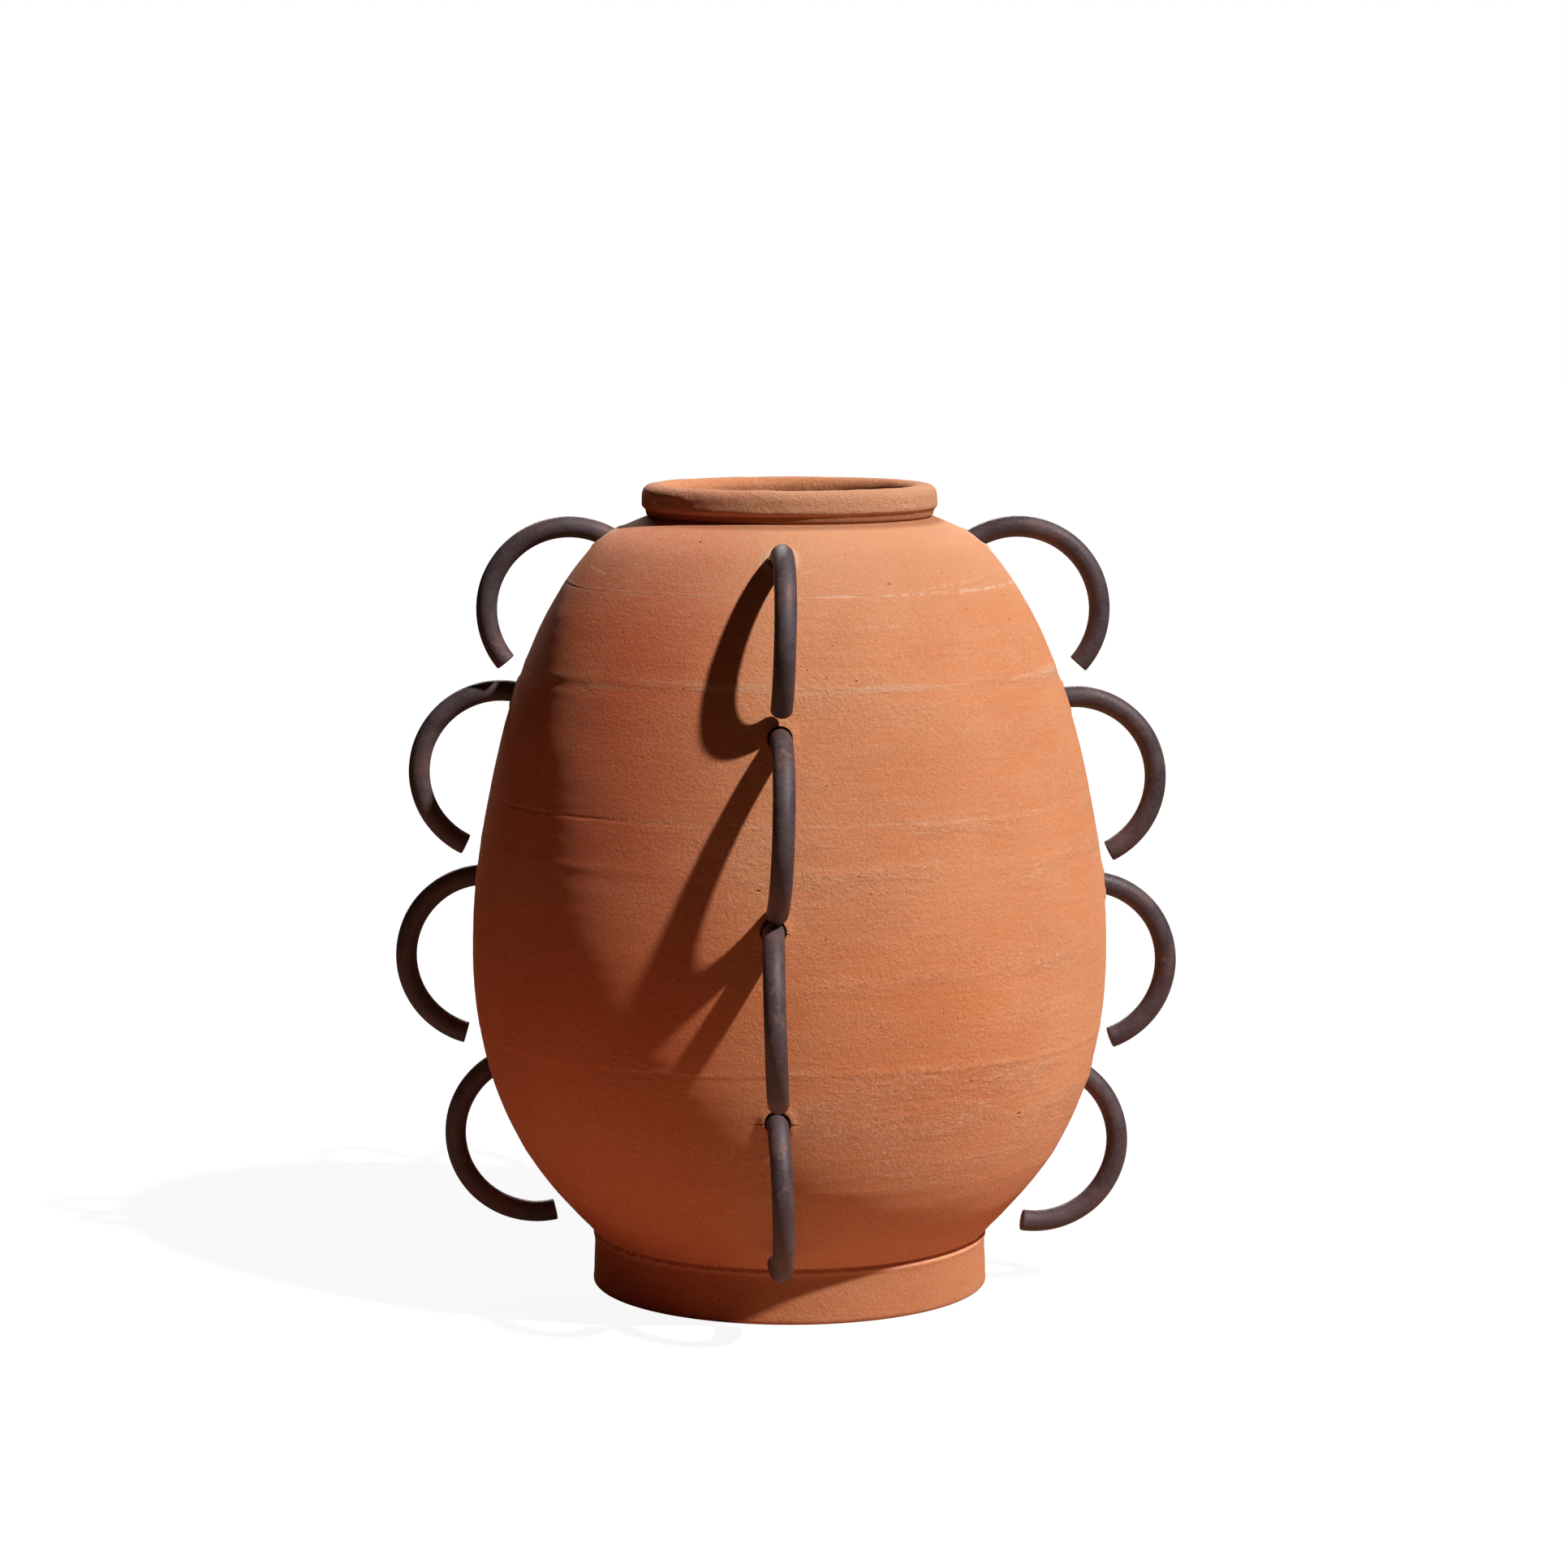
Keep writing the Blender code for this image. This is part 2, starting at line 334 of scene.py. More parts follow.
def natural_spline(points):
    """A function that runs smoothly through the (position, value) points."""
    at, value = (np.array(column) for column in zip(*points))
    step = np.diff(at)
    matrix = np.eye(len(at))
    bend = np.zeros(len(at))
    for i in range(1, len(at) - 1):
        matrix[i, i - 1 : i + 2] = step[i - 1], 2 * (step[i - 1] + step[i]), step[i]
        rise, rise_before = value[i + 1] - value[i], value[i] - value[i - 1]
        bend[i] = 6 * (rise / step[i] - rise_before / step[i - 1])
    second = np.linalg.solve(matrix, bend)

    def curve(x):
        i = np.clip(np.searchsorted(at, x) - 1, 0, len(step) - 1)
        a = (at[i + 1] - x) / step[i]
        b = (x - at[i]) / step[i]
        pull = ((a**3 - a) * second[i] + (b**3 - b) * second[i + 1]) * step[i] ** 2 / 6
        return a * value[i] + b * value[i + 1] + pull

    return curve


belly_radius = natural_spline(BELLY_POINTS)


def belly_rows():
    """Heights down the belly's outside, closer together at the lines turned into it."""
    fine = np.linspace(BELLY_POINTS[-1][0], BELLY_POINTS[0][0] + 0.0014, 8000)
    radius = belly_radius(fine)
    length = np.hypot(np.diff(fine), np.diff(radius))
    middle = (fine[:-1] + fine[1:]) / 2
    step = np.full(len(middle), ROW_STEP)
    for height, _, width in TURNED_LINES:
        near = np.abs(middle - height) < width * 2 + FINE_ROW_STEP
        step[near] = np.minimum(step[near], max(FINE_ROW_STEP / 2, width * 0.7))
    count = np.concatenate(([0], np.cumsum(length / step)))
    total = round(count[-1])
    return np.interp(np.arange(0, total + 1) * count[-1] / total, count, fine)


def under_wall(height):
    """The (radius, height) of the point on the wall's inside, under this height on its outside."""
    slope = (belly_radius(height + 1e-5) - belly_radius(height - 1e-5)) / 2e-5
    length = np.hypot(1, slope)
    return belly_radius(height) - WALL / length, height + WALL * slope / length


def jar_section():
    """The jar's section as (radius, height) rows, floor to rim inside and rim to foot outside.

    Also says, for each row, which part of the section it belongs to.
    """
    inside_heights = np.concatenate((np.linspace(0.030, 0.330, 16), np.linspace(0.342, 0.3795, 8)))
    inside = list(zip(*under_wall(inside_heights)))
    floor = [(0.030, FLOOR_HEIGHT), (0.056, FLOOR_HEIGHT), (0.071, FLOOR_HEIGHT + 0.0006)]
    floor.append((FLOOR_RADIUS + 0.0010, FLOOR_HEIGHT + 0.0030))
    top = inside[-1][1]
    throat = [(THROAT_RADIUS + 0.0022, top + 0.0036), (THROAT_RADIUS + 0.0004, top + 0.0062)]
    rim = []
    for i in range(RIM_STEPS + 1):
        angle = math.pi * (1 - i / RIM_STEPS)
        across = abs(math.cos(angle)) ** (2 / RIM_SQUARENESS) * RIM_HALF_WIDTH
        up = abs(math.sin(angle)) ** (2 / RIM_SQUARENESS) * RIM_HALF_HEIGHT
        rim.append((RIM_CENTRE_RADIUS + math.copysign(across, math.cos(angle)), RIM_CENTRE_HEIGHT + up))
    belly = [(belly_radius(height), height) for height in belly_rows()]
    sections = floor + inside + throat, rim + list(RIM_FACE), belly, list(FOOT)
    rows = np.array([point for section in sections for point in section])
    parts = np.concatenate([np.full(len(section), part) for part, section in enumerate(sections)])
    return rows, parts


def bearings():
    """Bearings of the jar's columns of points, closer together where the hooks' holes are."""
    fine = np.linspace(-math.pi, math.pi, 14401)
    middle = (fine[:-1] + fine[1:]) / 2
    off_hook = np.abs((middle + math.pi / 4) % (math.pi / 2) - math.pi / 4) * UNROLL_RADIUS
    blend = np.clip((off_hook - FINE_REACH) / FINE_FADE, 0, 1)
    step = FINE_COLUMN_STEP + (COLUMN_STEP - FINE_COLUMN_STEP) * blend
    count = np.concatenate(([0], np.cumsum(np.diff(fine) * UNROLL_RADIUS / step)))
    total = round(count[-1])
    return np.interp(np.arange(total) * count[-1] / total, count, fine)


def grain(points, size, stretch=(1, 1, 1), octaves=3, seed=0):
    """Fractal noise, about -1 to 1, with lumps of this size, at each of the points."""
    scaled = np.asarray(points) * (np.array(stretch) / size) + 17.3 * seed
    return np.array([noise.fractal(Vector(point), 1.0, 2.0, octaves) for point in scaled])


class Ring:
    """A hook's ring, found from its CAD node: its centre, its directions and where its arc ends."""

    def __init__(self, node):
        points = np.array([vertex.co for vertex in node.data.vertices])
        middle = points.mean(0)
        self.across = np.linalg.svd(points - middle, full_matrices=False)[2][2]
        up = np.array((0, 0, 1)) - self.across[2] * self.across
        self.up = up / np.linalg.norm(up)
        self.out = np.cross(self.across, self.up)
        if self.out @ middle < 0:
            self.out = -self.out
            self.across = -self.across
        flat = np.stack(((points - middle) @ self.out, (points - middle) @ self.up), 1)
        centre = np.zeros(2)
        for _ in range(60):
            away = flat - centre
            distance = np.linalg.norm(away, axis=1)
            unit = away / distance[:, None]
            centre += np.linalg.lstsq(unit, distance - RING_RADIUS, rcond=None)[0]
        away = flat - centre
        angles = np.arctan2(away[:, 1], away[:, 0])
        self.first, self.last = angles.min(), angles.max()
        self.centre = middle + centre[0] * self.out + centre[1] * self.up

    def at(self, angle, radius=RING_RADIUS):
        return self.centre + radius * (np.cos(angle) * self.out + np.sin(angle) * self.up)

    def along(self, angle):
        return -np.sin(angle) * self.out + np.cos(angle) * self.up

    def crossing(self, depth):
        """The angle at which the ring, going up and in, is this deep in the wall."""
        angles = np.linspace(math.radians(30), math.radians(150), 4000)
        points = np.array([self.at(angle) for angle in angles])
        slope = (belly_radius(points[:, 2] + 1e-5) - belly_radius(points[:, 2] - 1e-5)) / 2e-5
        under = (belly_radius(points[:, 2]) - np.hypot(points[:, 0], points[:, 1])) / np.hypot(1, slope)
        return angles[np.argmax(under > depth)]


def add_piece(name, mesh, material, slot, *replaced):
    piece = bpy.data.objects.new(name, mesh)
    bpy.context.scene.collection.objects.link(piece)
    mesh.materials.append(material)
    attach(piece, "root")
    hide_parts(*replaced)
    return piece


def tube(bm, centres, frames, radii):
    """A closed tube round the centres. Each frame holds the two directions across it."""
    sides = radii.shape[1]
    turn = np.arange(sides) * 2 * math.pi / sides
    loops = []
    for centre, (first, second), around in zip(centres, frames, radii):
        spots = centre + around[:, None] * (np.cos(turn)[:, None] * first + np.sin(turn)[:, None] * second)
        loops.append([bm.verts.new(spot) for spot in spots])
    for low, high in zip(loops, loops[1:]):
        for i in range(sides):
            bm.faces.new((low[i - 1], low[i], high[i], high[i - 1]))
    bm.faces.new(loops[0])
    bm.faces.new(loops[-1][::-1])


def ring_tube(bm, ring, angles, ring_radius, radii):
    """A closed tube along a hook's ring."""
    centres = [ring.at(angle, ring_radius) for angle in angles]
    frames = []
    for centre in centres:
        away = centre - ring.centre
        frames.append((away / np.linalg.norm(away), ring.across))
    tube(bm, centres, frames, radii)


def finish_mesh(bm, name, crease=ROD_CREASE):
    bmesh.ops.recalc_face_normals(bm, faces=bm.faces)
    mesh = bpy.data.meshes.new(name)
    bm.to_mesh(mesh)
    bm.free()
    mesh.shade_smooth()
    mesh.set_sharp_from_angle(angle=math.radians(crease))
    return mesh


def hook_mesh(name, ring, seed):
    """The rod: round bar, a little uneven, with its cut ends' edges worn soft."""
    turn = ROD_EDGE / RING_RADIUS
    ends = np.array((0, 0.12, 0.35, 0.65, 1)) * turn
    shrink = np.array((1, 0.62, 0.28, 0.07, 0)) * ROD_EDGE
    angles = np.linspace(ring.first + turn, ring.last - turn, ROD_STEPS)
    angles = np.concatenate((ring.first + ends[:-1], angles, (ring.last - ends[:-1])[::-1]))
    inset = np.concatenate((shrink[:-1], np.zeros(ROD_STEPS), shrink[:-1][::-1]))
    across = np.arange(ROD_SIDES) * 2 * math.pi / ROD_SIDES
    round_bar = [(math.cos(side) * 0.8, math.sin(side) * 0.8) for side in across]
    spots = [(angle * 1.4, *side) for angle in angles for side in round_bar]
    uneven = grain(spots, 1.0, octaves=2, seed=seed).reshape(len(angles), ROD_SIDES)
    radii = ROD_RADIUS - inset[:, None] + uneven * ROD_UNEVEN
    bm = bmesh.new()
    ring_tube(bm, ring, angles, RING_RADIUS, radii)
    return finish_mesh(bm, name)


def add_drill(bm, ring, row):
    """The hole's own bent path through the wall, a little ragged."""
    radius, outside = HOLES[row - 1]
    angles = np.linspace(ring.crossing(0) - HOLE_REACH, ring.crossing(WALL) + HOLE_REACH, HOLE_STEPS)
    across = np.arange(HOLE_SIDES) * 2 * math.pi / HOLE_SIDES
    spots = [(angle * 3, math.cos(side), math.sin(side)) for angle in angles for side in across]
    ragged = grain(spots, 0.7, octaves=2, seed=row + 3).reshape(HOLE_STEPS, HOLE_SIDES)
    ring_tube(bm, ring, angles, RING_RADIUS + outside, radius + ragged * HOLE_RAGGED)


def add_crack(bm, mouth, side, length, drop, hole_radius):
    """A thin zigzag wedge, from the hole's edge sideways into the clay."""
    radial = np.array((mouth[0], mouth[1], 0))
    radial /= np.linalg.norm(radial)
    sideways = np.array((-radial[1], radial[0], 0)) * side
    upward = np.array((0, 0, 1.0))
    loops = []
    for i in range(CRACK_STEPS + 1):
        share = i / CRACK_STEPS
        reach = hole_radius - CRACK_START + (length + CRACK_START) * share
        height = drop * share + CRACK_ZIGZAG * math.sin(i * 2.4)
        half = CRACK_WIDTH / 2 * (1 - share) ** 0.7 + 0.00005
        bulge = radial * 0.5 * reach**2 / np.hypot(*mouth[:2])
        middle = mouth + sideways * reach + upward * height - bulge
        corners = (radial * 0.0016 + upward * half * 2, radial * 0.0016 - upward * half * 2)
        deep = -radial * CRACK_DEPTH * (1 - 0.6 * share)
        loops.append([bm.verts.new(middle + corner) for corner in (*corners, deep)])
    for low, high in zip(loops, loops[1:]):
        for j in range(3):
            bm.faces.new((low[j - 1], low[j], high[j], high[j - 1]))
    bm.faces.new(loops[0])
    bm.faces.new(loops[-1][::-1])


def on_belly(bearing, height, above):
    """The point this far above the belly's outside."""
    radius = belly_radius(height) + above
    return np.array((radius * math.sin(bearing), -radius * math.cos(bearing), height))


def add_pit(bm, bearing, height, radius, seed):
    """A lumpy, flattened ball that sits half in the clay."""
    made = bmesh.ops.create_icosphere(bm, subdivisions=2, radius=radius)
    middle = Vector(on_belly(math.radians(bearing), height, radius * 0.15))
    for vertex in made["verts"]:
        vertex.co *= 1 + 0.35 * noise.noise(vertex.co / radius * 1.1 + Vector((seed, 0, 0)))
        vertex.co = Vector((vertex.co.x * 1.25, vertex.co.y, vertex.co.z * 0.8)) + middle


def clay_offset(points, bearing, parts, mouths):
    """How far the clay stands out from the turned section, at each point."""
    offset = np.zeros(len(points))
    inside, rim, belly, foot = (
        parts == part for part in (INSIDE_PART, RIM_PART, BELLY_PART, FOOT_PART)
    )

    # the belly: slow waves, the turned lines, and the clay pushed up round the holes
    spots = points[belly]
    bands = grain(spots, 0.030, (0.35, 0.35, 4.5), 3, 1)
    waves = grain(spots, 0.060, (1, 1, 1.5), 2, 2)
    lumps = grain(spots, 0.0065, (1, 1, 1.3), 2, 3)
    calm = np.clip((0.381 - spots[:, 2]) / 0.030, 0.35, 1)
    offset[belly] = calm * (0.00006 * bands + 0.00030 * waves + 0.00004 * lumps)
    wander = 0.0004 * np.sin(3 * bearing[belly] + 0.8) + 0.0002 * np.sin(7 * bearing[belly])
    for i, (line, stands, width) in enumerate(TURNED_LINES):
        fade = 0.75 + 0.25 * np.sin(bearing[belly] * (2 + i % 3) + i)
        offset[belly] += fade * stands * np.exp(-(((spots[:, 2] - line - wander) / width) ** 2))
    for mouth, direction, radius in mouths:
        near = belly & (np.linalg.norm(points - mouth, axis=1) < 0.022)
        away = points[near] - mouth
        from_axis = np.linalg.norm(away - (away @ direction)[:, None] * direction, axis=1)
        uneven = 0.75 + 0.5 * grain(points[near], 0.006, octaves=2, seed=5)
        from_lip = (from_axis - radius - 0.0006) / LIP_WIDTH
        offset[near] += LIP_HEIGHT * uneven * np.exp(-(from_lip**2))

    # the rim: rough on its face, most of all at the left of the front, and calmer on the set-back band
    spots = points[rim]
    calm = np.where(spots[:, 2] < 0.3855, 0.3, 1.0)
    offset[rim] = calm * (0.00025 * grain(spots, 0.030, (1, 1, 2), 2, 6))
    offset[rim] += calm * 0.00012 * grain(spots, 0.004, (0.6, 0.6, 1), 3, 7)
    rough = np.exp(-(((bearing[rim] + 0.45) / 0.5) ** 2)) * np.clip((spots[:, 2] - 0.386) / 0.002, 0, 1)
    offset[rim] += rough * 0.00030 * grain(spots, 0.0035, (0.5, 0.5, 1), 3, 8)

    # the inside, and the foot, which stays flat where it stands
    offset[inside] = 0.0005 * grain(points[inside], 0.020, (0.7, 0.7, 2.5), 3, 9)
    lifted = np.clip(points[foot, 2] / 0.004, 0, 1)
    offset[foot] = lifted * 0.00030 * grain(points[foot], 0.028, (0.6, 0.6, 1.5), 3, 10)
    return offset


def jar_mesh(mouths):
    """The jar without its holes: the section turned round the axis, with the clay's own unevenness."""
    rows, parts = jar_section()
    columns = bearings()
    ahead = np.vstack((rows[1:], rows[-1:]))
    behind = np.vstack((rows[:1], rows[:-1]))
    run = ahead - behind
    run /= np.linalg.norm(run, axis=1)[:, None]
    normal = np.stack((-run[:, 1], run[:, 0]), 1)
    round_x, round_y = np.sin(columns), -np.cos(columns)

    def swept(section):
        return np.stack(
            (
                np.outer(section[:, 0], round_x),
                np.outer(section[:, 0], round_y),
                np.repeat(section[:, 1:2], len(columns), 1),
            ),
            2,
        ).reshape(-1, 3)

    points = swept(rows)
    bearing = np.tile(columns, len(rows))
    offset = clay_offset(points, bearing, np.repeat(parts, len(columns)), mouths)
    points += offset[:, None] * swept(normal)
    points[:, 2] = np.maximum(points[:, 2], 0)

    count = len(columns)
    vertices = [(0, 0, FLOOR_HEIGHT), *map(tuple, points), (0, 0, rows[-1, 1])]
    last = len(vertices) - 1
    faces = []
    for j in range(count):
        k = (j + 1) % count
        faces.append((0, 1 + j, 1 + k))
        faces.append((last, last - count + k, last - count + j))
        for i in range(len(rows) - 1):
            low, high = 1 + i * count, 1 + (i + 1) * count
            faces.append((low + j, high + j, high + k, low + k))
    mesh = bpy.data.meshes.new("jar")
    mesh.from_pydata(vertices, [], faces)
    bm = bmesh.new()
    bm.from_mesh(mesh)
    bpy.data.meshes.remove(mesh)
    return finish_mesh(bm, "jar", JAR_CREASE)


# ---- materials ----


class Tree:
    """A material's nodes, added one at a time."""

    def __init__(self, name):
        self.material = bpy.data.materials.new(name)
        self.material.use_nodes = True
        self.nodes = self.material.node_tree.nodes
        self.links = self.material.node_tree.links
        self.shader = self.nodes["Principled BSDF"]
        self.place = self.add("ShaderNodeTexCoord").outputs["Object"]

    def plug(self, socket, value):
        if isinstance(value, bpy.types.NodeSocket):
            self.links.new(value, socket)
        else:
            socket.default_value = value

    def add(self, kind, inputs=(), **settings):
        node = self.nodes.new(kind)
        for key, value in settings.items():
            setattr(node, key, value)
        for key, value in dict(inputs).items():
            self.plug(node.inputs[key], value)
        return node

    def math(self, operation, first, second=0.0, clamp=False):
        inputs = {0: first, 1: second}
        return self.add("ShaderNodeMath", inputs, operation=operation, use_clamp=clamp).outputs[0]

    def vector(self, operation, first, second=(0, 0, 0), output=0):
        return self.add("ShaderNodeVectorMath", {0: first, 1: second}, operation=operation).outputs[output]

    def noise(self, size, detail=3.0, rough=0.5, stretch=None):
        """Noise from about 0.3 to 0.7 with lumps of this size in metres."""
        where = self.vector("MULTIPLY", self.place, stretch) if stretch else self.place
        inputs = {"Vector": where, "Scale": 1 / size, "Detail": detail, "Roughness": rough}
        return self.add("ShaderNodeTexNoise", inputs).outputs[0]

    def near(self, value, middle, low, high, strength):
        """The strength where the value is within low of the middle, fading to 0 at high."""
        away = self.math("ABSOLUTE", self.math("SUBTRACT", value, middle))
        return self.step(away, low, high, strength, 0.0)

    def step(self, value, low, high, start=0.0, end=1.0):
        """Runs smoothly from start to end as the value goes from low to high."""
        inputs = {"Value": value, "From Min": low, "From Max": high, "To Min": start, "To Max": end}
        return self.add("ShaderNodeMapRange", inputs, interpolation_type="SMOOTHSTEP").outputs[0]

    def mix(self, factor, first, second, blend="MIX"):
        """Mixes the first colour, a socket or a colour, with the second colour."""
        if isinstance(first, tuple):
            first = rgba(*first)
        inputs = {0: factor, 6: first, 7: rgba(*second)}
        return self.add("ShaderNodeMix", inputs, data_type="RGBA", blend_type=blend).outputs[2]

    def bump(self, height, distance, normal=None):
        inputs = {"Height": height, "Distance": distance}
        if normal:
            inputs["Normal"] = normal
        return self.add("ShaderNodeBump", inputs).outputs[0]

    def set(self, **inputs):
        for key, value in inputs.items():
            self.plug(self.shader.inputs[key.replace("_", " ")], value)


def rgba(red, green, blue):
    return (red, green, blue, 1.0)


def salt(tree, ring_height, left):
    """How salty the clay is: in rings at a few heights, patchy, strongest on the right of the front."""
    heights = tree.add("ShaderNodeValToRGB", {0: tree.math("DIVIDE", ring_height, SALT_HEIGHT)})
    ramp = heights.color_ramp
    for i, (position, value) in enumerate(SALT_STOPS):
        element = ramp.elements[i] if i < 2 else ramp.elements.new(position)
        element.position = position
        element.color = rgba(value, value, value)
    front_right = tree.vector("DOT_PRODUCT", tree.vector("NORMALIZE", tree.place), (0.50, -0.80, 0.0), 1)
    salty = tree.math("MULTIPLY", heights.outputs[0], tree.step(front_right, -0.7, 0.75, 0.45, 1.0))
    patches = tree.step(tree.noise(0.034, 4, 0.6, (0.45, 0.45, 2.2)), 0.40, 0.66)
    salty = tree.math("MULTIPLY", salty, patches)
    return tree.math("MULTIPLY", salty, tree.step(left, 0.45, 0.85, 1.0, 0.45))


def scratches(tree, x, y, z):
    """Where the pale scratches are, on the jar's wall unrolled flat."""
    bearing = tree.math("ARCTAN2", x, tree.math("MULTIPLY", y, -1.0))
    around = tree.math("MULTIPLY", bearing, UNROLL_RADIUS)
    unrolled = tree.add("ShaderNodeCombineXYZ", {0: around, 1: z}).outputs[0]
    marks = None
    for start, end, width, strength in SCRATCHES:
        first = Vector((math.radians(start[0]) * UNROLL_RADIUS, start[1], 0))
        run = Vector((math.radians(end[0]) * UNROLL_RADIUS, end[1], 0)) - first
        away = tree.vector("SUBTRACT", unrolled, first)
        share = tree.vector("DOT_PRODUCT", away, run / run.length_squared, 1)
        share = tree.math("ADD", share, 0.0, clamp=True)
        back = tree.add("ShaderNodeVectorMath", {0: run, "Scale": share}, operation="SCALE").outputs[0]
        far = tree.vector("DISTANCE", away, back, 1)
        mark = tree.step(far, width * 0.4, width * 1.4, strength * 0.5, 0.0)
        marks = mark if marks is None else tree.math("MAXIMUM", marks, mark)
    return marks


def clay_material(top_mouths):
    tree = Tree("clay")
    x, y, z = tree.add("ShaderNodeSeparateXYZ", {0: tree.place}).outputs
    flat = tree.vector("MULTIPLY", tree.place, (1, 1, 0))
    radius = tree.vector("LENGTH", flat, output=1)
    outward = tree.vector("NORMALIZE", flat)
    left = tree.vector("DOT_PRODUCT", outward, (-0.76, -0.65, 0.0), 1)
    right = tree.vector("DOT_PRODUCT", outward, (0.98, -0.20, 0.0), 1)
    ring_height = tree.math("ADD", z, tree.math("MULTIPLY", tree.noise(0.05, 2), 0.004))
    salty = salt(tree, ring_height, left)

    # grain
    sand = tree.noise(0.0013, 4, 0.75)
    cells = tree.noise(0.0036, 6, 0.78)
    grit_relief = tree.noise(0.0021, 4, 0.75)
    streaks = tree.noise(0.016, 5, 0.6, (0.30, 0.30, 5.0))
    fine_streaks = tree.noise(0.0045, 4, 0.6, (0.25, 0.25, 3.2))
    clouds = tree.noise(0.075, 3, 0.5)
    flakes = tree.step(tree.noise(0.0030, 4, 0.7, (1, 1, 1.6)), 0.555, 0.600)

    colour = tree.mix(tree.step(clouds, 0.34, 0.66), CLAY_DEEP, CLAY_LIGHT)
    colour = tree.mix(tree.step(streaks, 0.36, 0.66, 0.0, 0.22), colour, STREAK_PALE)
    colour = tree.mix(tree.step(fine_streaks, 0.36, 0.58, 0.14, 0.0), colour, STREAK_DARK)
    colour = tree.mix(tree.step(sand, 0.54, 0.68, 0.0, 0.52), colour, SAND_PALE)
    colour = tree.mix(tree.step(sand, 0.30, 0.44, 0.42, 0.0), colour, SAND_DARK)
    bloom = tree.math("MULTIPLY", salty, tree.step(cells, 0.44, 0.62, 0.10, 0.40), True)
    colour = tree.mix(bloom, colour, SALT_BLOOM)
    flaky = tree.math("MULTIPLY", flakes, tree.math("MULTIPLY", salty, 0.75))
    colour = tree.mix(flaky, colour, SALT_FLAKES)

    # a warmer tint under mid height, painted shade on the left, darker and redder towards the shadowed
    # flank, dusty on the shoulder and the rim
    waist = tree.math("MULTIPLY", tree.step(z, 0.09, 0.14), tree.step(z, 0.17, 0.22, 1.0, 0.0))
    waist = tree.math("MULTIPLY", waist, tree.step(right, 0.72, 0.95, 1.0, 0.0))
    colour = tree.mix(waist, colour, WAIST_TINT, "MULTIPLY")
    # painted shade: the left side darkened and reddened towards where the light falls off
    left_shade = tree.step(left, 0.66, 1.00, 0.10, 1.0)
    left_shade = tree.math("MULTIPLY", left_shade, tree.step(clouds, 0.30, 0.60, 1.0, 0.8))
    colour = tree.mix(left_shade, colour, LEFT_SHADE_TINT, "MULTIPLY")
    high = tree.math("MULTIPLY", tree.step(z, 0.325, 0.372), tree.step(z, 0.380, 0.384, 1.0, 0.15))
    rim = tree.math("MULTIPLY", tree.step(z, 0.3835, 0.3850, 0.0, 1.3), tree.step(radius, 0.0600, 0.0660))
    high = tree.math("MAXIMUM", high, rim)
    dusty = tree.math("MULTIPLY", high, tree.step(cells, 0.34, 0.62, 0.16, 0.46))
    colour = tree.mix(dusty, colour, DUST_HIGH)
    ring = tree.near(ring_height, DUST_RING, 0.0004, 0.0036, 0.42)
    ring = tree.math("MULTIPLY", ring, tree.step(streaks, 0.40, 0.58))
    colour = tree.mix(ring, colour, DUST_PALE)

    # painted shade under the rim and on the foot, and dusty round the top row's holes
    # painted shade: the band under the rim's overhang darkened
    under_rim_shade = tree.step(z, 0.3842, 0.3852, 0.85, 0.0)
    under_rim_shade = tree.math("MULTIPLY", tree.step(z, 0.3780, 0.3798), under_rim_shade)
    colour = tree.mix(under_rim_shade, colour, UNDER_RIM_SHADE_TINT, "MULTIPLY")
    for mouth in top_mouths:
        far = tree.vector("DISTANCE", tree.place, tuple(mouth), 1)
        colour = tree.mix(tree.step(far, 0.0065, 0.0115, 0.55, 0.0), colour, DUST_MOUTH)
    # painted shade: the foot darkened where it stands near the floor
    colour = tree.mix(tree.step(z, 0.0225, 0.0255, 0.90, 0.0), colour, FOOT_SHADE_TINT, "MULTIPLY")

    # pale scratches, the incised lines, and a painted highlight along the ridge over the foot
    marks = scratches(tree, x, y, z)
    line = tree.near(z, INCISED_LINE, 0.0003, 0.0009, 0.75)
    line = tree.math("MULTIPLY", line, tree.step(left, 0.25, 0.75, 1.0, 0.25))
    marks = tree.math("MAXIMUM", marks, line)
    marks = tree.math("MAXIMUM", marks, tree.near(z, SECOND_LINE, 0.0003, 0.0009, 0.22))
    # painted highlight: a pale line where the foot's ridge catches the light
    marks = tree.math("MAXIMUM", marks, tree.near(z, FOOT_RIDGE, 0.0005, 0.0014, 0.32))
    marks = tree.math("MULTIPLY", marks, tree.step(tree.noise(0.006, 4, 0.7), 0.38, 0.56))
    colour = tree.mix(marks, colour, SCRATCH_AND_HIGHLIGHT_PALE)

    # specks of dark grit
    cell_inputs = {"Vector": tree.place, "Scale": 1 / GRIT_SPACING, "Randomness": 1.0}
    grit = tree.add("ShaderNodeTexVoronoi", cell_inputs)
    chance = tree.add("ShaderNodeSeparateColor", {0: grit.outputs["Color"]}).outputs[0]
    size = tree.step(chance, 0.64, 1.0, 0.0, 0.072)
    speck = tree.math("LESS_THAN", grit.outputs["Distance"], size)
    colour = tree.mix(tree.math("MULTIPLY", speck, 0.75), colour, GRIT_DARK)

    # inside the jar the clay is darker and browner
    colour = tree.mix(tree.step(radius, 0.0580, 0.0592, 0.60, 0.0), colour, INSIDE_BROWN)

